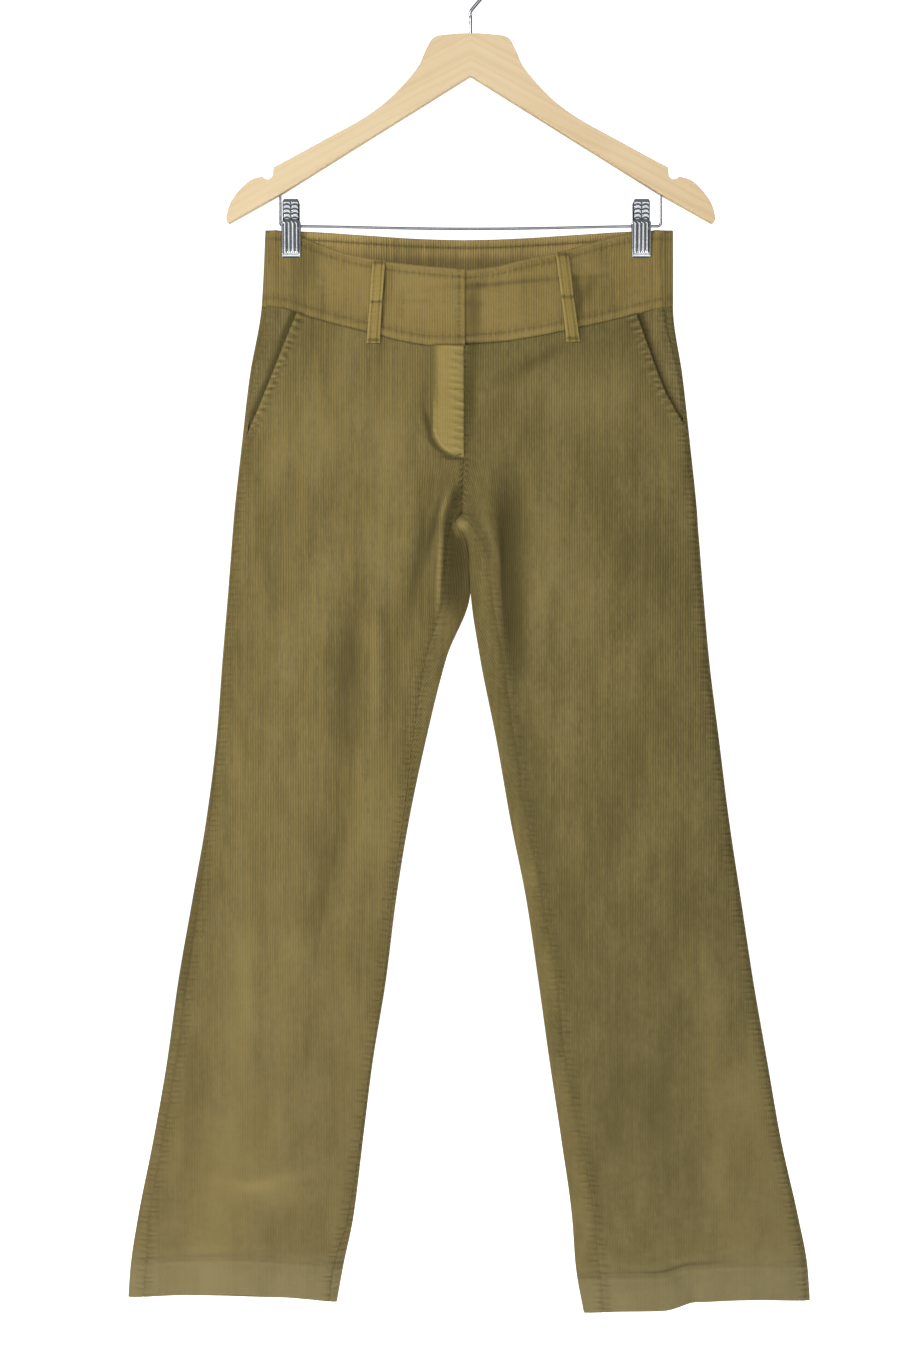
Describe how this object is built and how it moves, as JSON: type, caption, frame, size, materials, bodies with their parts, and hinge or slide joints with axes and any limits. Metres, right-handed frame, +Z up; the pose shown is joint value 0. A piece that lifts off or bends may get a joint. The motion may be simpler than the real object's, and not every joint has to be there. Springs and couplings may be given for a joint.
{
  "type": "corduroy trousers on a clip hanger",
  "caption": "Mustard-brown fine corduroy bootcut trousers with a wide waistband, slanted pockets and a covered fly, hanging from a wooden clip hanger.",
  "frame": {"origin": "inside top of the hook, where the hanger rests on a rail", "axes": "+Z up, against the hang; the front of the trousers looks along -Y; the wearer's right side is at -X, so the hook opens towards -X"},
  "size_m": [0.6209, 0.0482, 1.24],
  "materials": {
    "cord": "fine corduroy with vertical wales and a soft nap",
    "cord_band": "fine corduroy, a little lighter and more golden",
    "zip_tape": "plain woven tape",
    "maple": "pale, clear satin varnish",
    "chrome_wire": "bright plating"
  },
  "bodies": {
    "root": {"front_right": "cord", "front_left": "cord", "back_right": "cord", "back_left": "cord", "pocket_facing_right": "cord", "pocket_facing_left": "cord", "fly_placket": "cord_band", "fly_zip": "zip_tape", "waistband_front_right": "cord_band", "waistband_front_left": "cord_band", "waistband_back": "cord_band", "belt_loop_front_right": "cord_band", "belt_loop_front_left": "cord_band", "belt_loop_back_right": "cord_band", "belt_loop_back_centre": "cord_band", "belt_loop_back_left": "cord_band", "hanger_body": "maple", "hanger_hook": "chrome_wire", "clip_bar": "chrome_wire", "clip_right_front": "chrome_wire", "clip_right_back": "chrome_wire", "clip_right_spring": "chrome_wire", "clip_left_front": "chrome_wire", "clip_left_back": "chrome_wire", "clip_left_spring": "chrome_wire"}
  },
  "joints": []
}
